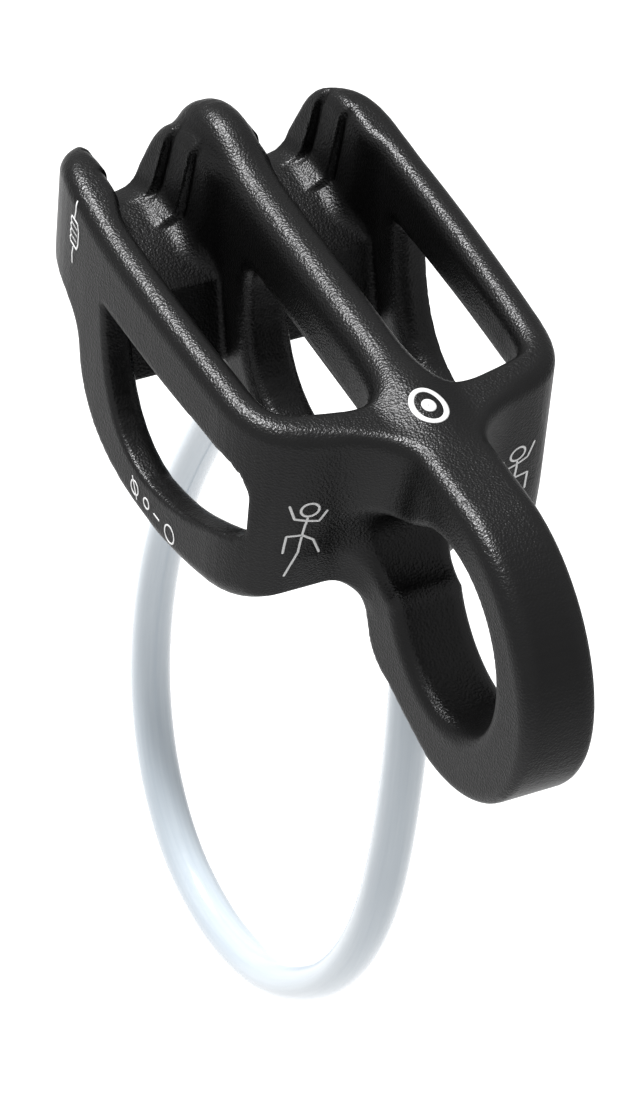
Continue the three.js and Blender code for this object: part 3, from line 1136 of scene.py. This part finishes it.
@dataclass
class Route:
    """Centre line of the keeper loop at X = 0: (Y, Z) knots, in metres."""

    knots: tuple[tuple[float, float], ...] = (
        (0.0546, -0.0098), (0.0575, -0.0152), (0.0609, -0.0218), (0.0641, -0.0288),
        (0.0671, -0.0366), (0.0695, -0.0450), (0.0710, -0.0540), (0.0713, -0.0630),
        (0.0702, -0.0714), (0.0674, -0.0788), (0.0635, -0.0840), (0.0590, -0.0873),
        (0.0535, -0.0890), (0.0470, -0.0892), (0.0394, -0.0872), (0.0330, -0.0836),
        (0.0274, -0.0788), (0.0222, -0.0728), (0.0182, -0.0662), (0.0152, -0.0590),
        (0.0132, -0.0514), (0.0121, -0.0434), (0.0116, -0.0354), (0.0115, -0.0270),
        (0.0118, -0.0180),
    )

    def points(self, steps: int) -> Array:
        """Points on a centripetal Catmull-Rom curve through the knots, evenly spaced.

        Each span is the Barry-Goldman blend of its four knots, whose times differ by the
        square root of the knots' distances.

        Args:
            steps: Number of points.

        Returns:
            Array (steps, 3).
        """
        knots = np.array([(0.0, y, z) for y, z in self.knots])
        knots = np.concatenate([[2 * knots[0] - knots[1]], knots, [2 * knots[-1] - knots[-2]]])
        gaps = np.sqrt(np.linalg.norm(np.diff(knots, axis=0), axis=1))
        times = np.concatenate([[0.0], np.cumsum(gaps)])
        spans = []
        for k in range(1, len(knots) - 2):
            p, t = knots[k - 1 : k + 3], times[k - 1 : k + 3]
            at = np.linspace(t[1], t[2], 24, endpoint=False)[:, None]
            a = [mixed(at, t[i], t[i + 1], p[i], p[i + 1]) for i in range(3)]
            b = [mixed(at, t[i], t[i + 2], a[i], a[i + 1]) for i in range(2)]
            spans.append(mixed(at, t[1], t[2], b[0], b[1]))
        line = np.concatenate([*spans, knots[-2:-1]])
        along = np.concatenate([[0.0], np.cumsum(np.linalg.norm(np.diff(line, axis=0), axis=1))])
        places = np.linspace(0.0, along[-1], steps)
        return np.stack([np.interp(places, along, line[:, k]) for k in range(3)], axis=1)

    def length(self) -> float:
        """Length of the centre line, in metres."""
        return float(np.linalg.norm(np.diff(self.points(600), axis=0), axis=1).sum())


def swept_tube(path: Array, ahead: Array, radii: Array, sides: int) -> Array:
    """Rings round a path in the plane X = 0.

    A ring's point is the path's point plus the radius times (X cos a + N sin a), where N is
    the path's direction turned a quarter in its plane.

    Args:
        path: Array (n, 3).
        ahead: Unit directions, array (n, 3).
        radii: Array (n,).
        sides: Points round each ring.

    Returns:
        Array (n * sides, 3).
    """
    normal = np.stack([np.zeros(len(path)), -ahead[:, 2], ahead[:, 1]], axis=1)
    angle = np.arange(sides) * (2.0 * math.pi / sides)
    spokes = np.cos(angle)[None, :, None] * np.array([1.0, 0.0, 0.0]) + (
        np.sin(angle)[None, :, None] * normal[:, None, :]
    )
    return (path[:, None, :] + radii[:, None, None] * spokes).reshape(-1, 3)


@dataclass
class KeeperLoop:
    """The coated cable that keeps the device on its carabiner. Sizes in metres."""

    route: Route = field(default_factory=Route)
    sleeve_radius: float = 0.0024
    bore_radius: float = 0.00135
    strand_radius: float = 0.00036
    strand_orbit: float = 0.00073
    lay_length: float = 0.0095
    sides: int = 28
    steps: int = 260

    def build_sleeve(self, material: bpy.types.Material) -> bpy.types.Object:
        """Sweeps the sleeve's section: outside, domed ends and bore, as one closed tube.

        Args:
            material: The finish.

        Returns:
            The sleeve piece with UVs: U along the loop, V round it.
        """
        line = self.route.points(self.steps)
        ahead = unit(np.gradient(line, axis=0))
        lip = math.asin(self.bore_radius / self.sleeve_radius)
        turn = np.linspace(lip, 0.5 * math.pi, 10)[:-1]
        back = self.sleeve_radius * np.cos(turn)[:, None]
        dome = self.sleeve_radius * np.sin(turn)
        first = line[0] - ahead[0] * back
        last = (line[-1] + ahead[-1] * back)[::-1]
        outer = np.concatenate([first, line, last])
        outer_ahead = np.concatenate([np.tile(ahead[0], (9, 1)), ahead, np.tile(ahead[-1], (9, 1))])
        outer_radii = np.concatenate([dome, np.full(len(line), self.sleeve_radius), dome[::-1]])
        keep = slice(9, -9, 4)
        inner = outer[keep][::-1]
        inner_radii = np.full(len(inner), self.bore_radius)
        path = np.concatenate([outer, inner, outer[:1]])
        radii = np.concatenate([outer_radii, inner_radii, outer_radii[:1]])
        direction = np.concatenate([outer_ahead, outer_ahead[keep][::-1], outer_ahead[:1]])
        rings = swept_tube(path, direction, radii, self.sides)
        count = len(path) - 1
        faces = grid_faces(len(path), self.sides, True) % (count * self.sides)
        piece = write_mesh("keeper_loop_sleeve", rings[: count * self.sides], faces[:, ::-1], material)
        self._unwrap(piece, path, faces[:, ::-1])
        LOG.info("keeper_loop_sleeve: %d quads", len(faces))
        return piece

    def _unwrap(self, piece: bpy.types.Object, path: Array, faces: Array) -> None:
        """Gives the sleeve UVs: U is the path number over the count, V the share of a turn."""
        uv = piece.data.uv_layers.new(name="along")
        along = np.arange(len(path)) / len(path)
        column = faces % self.sides
        row = faces // self.sides
        wrapped = (column.max(axis=1, keepdims=True) == self.sides - 1) & (column == 0)
        v = (column + wrapped * self.sides) / self.sides
        u = along[row] * self.steps * 0.1
        uv.data.foreach_set("uv", np.stack([u, v], axis=-1).astype(np.float32).ravel())

    def build_cable(self, material: bpy.types.Material) -> bpy.types.Object:
        """Lays six strands round a core strand inside the sleeve.

        A strand's centre is the loop's point plus the orbit times (X cos a + N sin a), where
        a grows by a whole turn for each lay length.

        Args:
            material: The finish.

        Returns:
            The cable piece.
        """
        line = self.route.points(self.steps)
        ahead = unit(np.gradient(line, axis=0))
        normal = np.stack([np.zeros(len(line)), -ahead[:, 2], ahead[:, 1]], axis=1)
        run = np.linspace(0.0, self.route.length(), len(line))
        sides, points, quads = 7, [], []
        for strand in range(7):
            orbit = 0.0 if strand == 6 else self.strand_orbit
            angle = 2.0 * math.pi * (run / self.lay_length + strand / 6.0)
            spine = line + orbit * (
                np.cos(angle)[:, None] * np.array([1.0, 0.0, 0.0]) + np.sin(angle)[:, None] * normal
            )
            rings = swept_tube(spine, ahead, np.full(len(line), self.strand_radius), sides)
            start = strand * (len(rings) + 2)
            body = grid_faces(len(line), sides, True)[:, ::-1] + start
            ends = start + len(rings)
            column = np.arange(sides)
            after = (column + 1) % sides
            last = start + len(rings) - sides
            hub = np.full(sides, ends)
            tip = np.stack([column + start, after + start, hub, hub], 1)
            tail = np.stack([after + last, column + last, hub + 1, hub + 1], 1)
            points.append(np.concatenate([rings, spine[:1], spine[-1:]]))
            quads.extend([body, tip, tail])
        piece = self._mesh_with_fans("keeper_loop_cable", points, quads, material)
        LOG.info("keeper_loop_cable: %d faces", len(piece.data.polygons))
        return piece

    @staticmethod
    def _mesh_with_fans(
        name: str, points: list[Array], quads: list[Array], material: bpy.types.Material
    ) -> bpy.types.Object:
        """Writes quads and end fans, whose third and fourth corners are the same point."""
        faces = [tuple(dict.fromkeys(face)) for face in np.concatenate(quads).tolist()]
        mesh = bpy.data.meshes.new(name)
        mesh.from_pydata(np.concatenate(points).tolist(), [], faces)
        mesh.polygons.foreach_set("use_smooth", np.ones(len(mesh.polygons), bool))
        mesh.materials.append(material)
        piece = bpy.data.objects.new(name, mesh)
        bpy.context.scene.collection.objects.link(piece)
        return piece


# ---- studio ----------------------------------------------------------------------------------


@dataclass(frozen=True)
class Softbox:
    """One soft area light aimed at the object."""

    name: str
    place: tuple[float, float, float]
    size: tuple[float, float]
    watts: float

    def build(self, target: Vector) -> None:
        """Places the light and turns it to face the target.

        Args:
            target: The point that it faces.
        """
        data = bpy.data.lights.new(self.name, "AREA")
        data.shape = "RECTANGLE"
        data.size, data.size_y = self.size
        data.energy = self.watts
        lamp = bpy.data.objects.new(self.name, data)
        lamp.location = self.place
        lamp.rotation_euler = (target - Vector(self.place)).to_track_quat("-Z", "Y").to_euler()
        bpy.context.scene.collection.objects.link(lamp)


@dataclass
class Studio:
    """Camera, pale floor and soft light."""

    eye: tuple[float, float, float] = (-0.23766, -0.37859, 0.40063)
    ahead: tuple[float, float, float] = (0.37495, 0.65068, -0.66032)
    upward: tuple[float, float, float] = (0.24466, 0.61758, 0.74749)
    lens: float = 127.59
    sensor: float = 24.0
    floor_height: float = -0.45
    floor_size: float = 4.0
    surroundings: float = 0.85

    def build_camera(self) -> None:
        """Sets up the camera from its place, its line of sight and its upward direction."""
        data = bpy.data.cameras.new("camera")
        data.sensor_fit = "VERTICAL"
        data.sensor_height = self.sensor
        data.lens = self.lens
        data.clip_start = 0.05
        camera = bpy.data.objects.new("camera", data)
        ahead = Vector(self.ahead).normalized()
        right = ahead.cross(Vector(self.upward)).normalized()
        up = right.cross(ahead)
        turn = Matrix((right, up, -ahead)).transposed().to_4x4()
        camera.matrix_world = Matrix.Translation(self.eye) @ turn
        bpy.context.scene.collection.objects.link(camera)
        bpy.context.scene.camera = camera

    def build_floor(self) -> None:
        """Lays a large flat pale sheet, well below the object."""
        graph = Graph("pale_floor")
        tone = graph.noise(graph.object_point(), 3.0, 2.0)
        material = graph.feed(
            Base_Color=graph.blend(tone, (0.90, 0.90, 0.90), (0.92, 0.92, 0.92)), Roughness=0.85
        )
        count = 41
        line = np.linspace(-0.5, 0.5, count) * self.floor_size
        x, y = np.meshgrid(line, line, indexing="ij")
        z = np.full_like(x, self.floor_height)
        points = np.stack([x, y, z], axis=-1).reshape(-1, 3)
        floor = write_mesh("floor", points, grid_faces(count, count, False)[:, ::-1], material)

    def build_lights(self) -> None:
        """Sets the soft boxes and the pale surroundings."""
        target = Vector((0.0, 0.03, 0.0))
        boxes = (
            Softbox("rim_box", (-0.21, 0.46, 0.76), (0.27, 0.27), 21.0),
            Softbox("top_box", (-0.2, 0.1, 0.9), (0.5, 0.5), 1.0),
        )
        for box in boxes:
            box.build(target)
        bpy.context.scene.view_settings.view_transform = "Standard"
        world = bpy.data.worlds.new("studio")
        world.use_nodes = True
        background = world.node_tree.nodes["Background"]
        background.inputs["Color"].default_value = (1.0, 1.0, 1.0, 1.0)
        background.inputs["Strength"].default_value = self.surroundings
        bpy.context.scene.world = world


# ---- assembly --------------------------------------------------------------------------------


@dataclass
class Marking:
    """The etched pictograms, with their stroke widths in millimetres."""

    grip_width: float = 0.22
    size_width: float = 0.2

    def figure(self, hand: float) -> list[Stroke]:
        """A plain stick climber: round head, bent arms and legs, and a rope below.

        Args:
            hand: 1 as drawn, -1 mirrored.

        Returns:
            The strokes.
        """
        limbs = (
            ((0.0, 3.0), (-0.15, 1.6), (-0.2, 0.2)),
            ((-0.1, 2.5), (-1.4, 2.9), (-2.1, 4.9)),
            ((-0.1, 2.5), (1.3, 2.2), (2.0, 3.8)),
            ((-0.2, 0.2), (-1.9, 0.3), (-2.0, -2.3)),
            ((-0.2, 0.2), (1.2, -0.9), (2.2, -3.2)),
            ((-0.2, 0.0), (-0.3, -2.4), (-0.9, -4.2), (-1.4, -6.0)),
        )
        strokes = [line(*((hand * u, v) for u, v in limb)) for limb in limbs]
        return [hoop(hand * 0.1, 4.1, 0.95), *strokes]

    def grip(self) -> list[Stroke]:
        """A plain closed fist round a rope: the rope's line and four rounded fingers."""
        fingers = [
            ((-0.9, h), (0.7, h + 0.05), (0.95, h - 0.4), (0.7, h - 0.8), (-0.9, h - 0.85))
            for h in (1.7, 0.85, 0.0, -0.85)
        ]
        lines = [
            ((0.0, 4.2), (-0.25, 3.2), (0.0, 1.9)),
            ((0.0, -1.9), (0.2, -3.0), (0.0, -4.2)),
            ((-0.9, 1.7), (-1.25, 0.8), (-1.25, -0.8), (-0.9, -1.7)),
            *fingers,
        ]
        return [line(*points, width=self.grip_width) for points in lines]

    def rope_sizes(self) -> list[Stroke]:
        """A diameter sign, then a thin rope's circle, a dash and a thick rope's circle."""
        return [
            hoop(5.0, 0.0, 0.85, self.size_width),
            line((4.3, -1.2), (5.7, 1.2), width=self.size_width),
            hoop(2.2, 0.0, 0.62, self.size_width),
            line((0.5, 0.0), (-0.9, 0.0), width=self.size_width),
            hoop(-3.2, 0.0, 1.05, self.size_width),
        ]

    def build(self, forging: Forging) -> list[bpy.types.Object]:
        """Presses every mark onto the body.

        Args:
            forging: The body.

        Returns:
            The mark pieces.
        """
        etched = EtchedMark("etched_mark").material()
        # Darker copy of the etched finish for the top-face mark: painted shade that tones down the
        # strong light falling on the top.
        shaded_top_finish = EtchedMark("top_mark_painted_shade", (0.44, 0.44, 0.44), (0.36, 0.36, 0.36)).material()
        target = [hoop(0.0, 0.0, 0.4, 0.75, 1.35), hoop(0.0, 0.0, 1.7, 0.6, 1.35)]
        marks = (
            Mark("left_climber_mark", Face.FRONT, (-12.2, 14.0, 2.6), self.figure(1.0)),
            Mark("right_climber_mark", Face.FRONT, (12.2, 14.0, 2.6), self.figure(-1.0)),
            Mark("left_grip_mark", Face.LEFT, (-19.4, 59.3, 12.6), self.grip()),
            Mark("right_grip_mark", Face.RIGHT, (19.4, 59.3, 12.6), self.grip()),
            Mark("rope_size_mark", Face.LEFT, (-19.4, 35.8, -8.4), self.rope_sizes()),
            Mark("ring_and_dot_mark", Face.TOP, (0.0, 14.4, 17.8), target),
        )
        # The top-face mark takes the darker copy: painted shade against the light on the top.
        return [mark.build(forging, shaded_top_finish if mark.face is Face.TOP else etched) for mark in marks]


class Descender:
    """The whole assembly: keeper loop, forging, marks and the carried-over ferrules."""

    def __init__(self, frame: dict) -> None:
        """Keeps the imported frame.
        """
        self.frame = frame
        self.forging = Forging()
        self.keeper = KeeperLoop()

    def build_keeper(self) -> None:
        sleeve = self.keeper.build_sleeve(MilkySleeve().material())
        cable = self.keeper.build_cable(DrawnSteel("stranded_wire").material())
        for piece, node, slot in (
            (sleeve, "keeper_sleeve", "sleeve_plastic"),
            (cable, "keeper_cable", "cable_steel"),
        ):
            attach(piece, KEEPER_BODY)
            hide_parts(node)
        path = self.keeper.route.points(120)
        self.keeper.route.length()

    def build_body(self) -> None:
        """Builds the forging and its marks."""
        body = self.forging.build(BlastedAnodising().material())
        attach(body, FRAME_BODY)
        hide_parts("body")
        for mark in Marking().build(self.forging):
            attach(mark, FRAME_BODY)

    def dress_ferrules(self) -> None:
        """Gives the carried-over ferrules their turned steel."""
        steel = DrawnSteel("turned_steel", roughness=0.34).material()
        for node in ("groove_end_ferrule", "eye_end_ferrule"):
            mesh = self.frame["nodes"][node].data
            mesh.materials.clear()
            mesh.materials.append(steel)
            LOG.info("%s: carried over", node)


def corners(box: tuple) -> list[list[float]]:
    """A box's two corners as plain lists of numbers."""
    return [[float(v) for v in corner] for corner in box]


def main() -> None:
    """Builds the scene in order."""
    logging.basicConfig(level=logging.INFO, format="%(message)s")
    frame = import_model()
    studio = Studio()
    studio.build_camera()
    descender = Descender(frame)
    descender.build_keeper()
    descender.build_body()
    descender.dress_ferrules()
    studio.build_floor()
    studio.build_lights()


if __name__ == "__main__":
    main()
